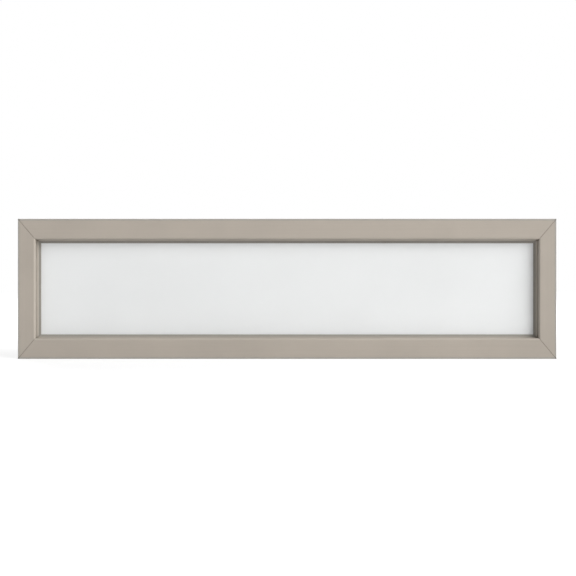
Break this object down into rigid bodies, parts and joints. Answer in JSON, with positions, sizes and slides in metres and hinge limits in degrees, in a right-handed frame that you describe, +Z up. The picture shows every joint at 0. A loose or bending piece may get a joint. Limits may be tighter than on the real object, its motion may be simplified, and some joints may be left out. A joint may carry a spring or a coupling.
{
  "type": "transom window",
  "caption": "Wide, low fixed window: mitred hollow composite frame, rounded inner edge, gaskets, satin double glazing held by snap-in beads on the room side.",
  "frame": {"origin": "middle of the underside of the sill, halfway through the frame's depth", "axes": "+X along the window to the right as seen from outdoors, +Y from outdoors to the room, +Z up"},
  "size_m": [1.511, 0.082, 0.393],
  "materials": {
    "frame": "matte pigmented composite, taupe",
    "bead": "matte pigmented composite, taupe",
    "gasket": "matt, mid grey",
    "outer_glass": "satin etched on its cavity side",
    "inner_glass": "clear",
    "spacer": "mill, matt",
    "edge_seal": "matt black sealant",
    "block": "matt dark plastic",
    "joint_sealant": "cured sealant in the mitre joints, a little darker than the frame"
  },
  "bodies": {
    "root": {"head": "frame", "head_bead": "bead", "head_front_gasket": "gasket", "head_back_gasket": "gasket", "head_spacer": "spacer", "head_edge_seal": "edge_seal", "sill": "frame", "sill_bead": "bead", "sill_front_gasket": "gasket", "sill_back_gasket": "gasket", "sill_spacer": "spacer", "sill_edge_seal": "edge_seal", "left_jamb": "frame", "left_jamb_bead": "bead", "left_jamb_front_gasket": "gasket", "left_jamb_back_gasket": "gasket", "left_jamb_spacer": "spacer", "left_jamb_edge_seal": "edge_seal", "right_jamb": "frame", "right_jamb_bead": "bead", "right_jamb_front_gasket": "gasket", "right_jamb_back_gasket": "gasket", "right_jamb_spacer": "spacer", "right_jamb_edge_seal": "edge_seal", "outer_pane": "outer_glass", "inner_pane": "inner_glass", "left_setting_block": "block", "left_head_block": "block", "left_jamb_block": "block", "right_setting_block": "block", "right_head_block": "block", "right_jamb_block": "block"}
  },
  "joints": []
}
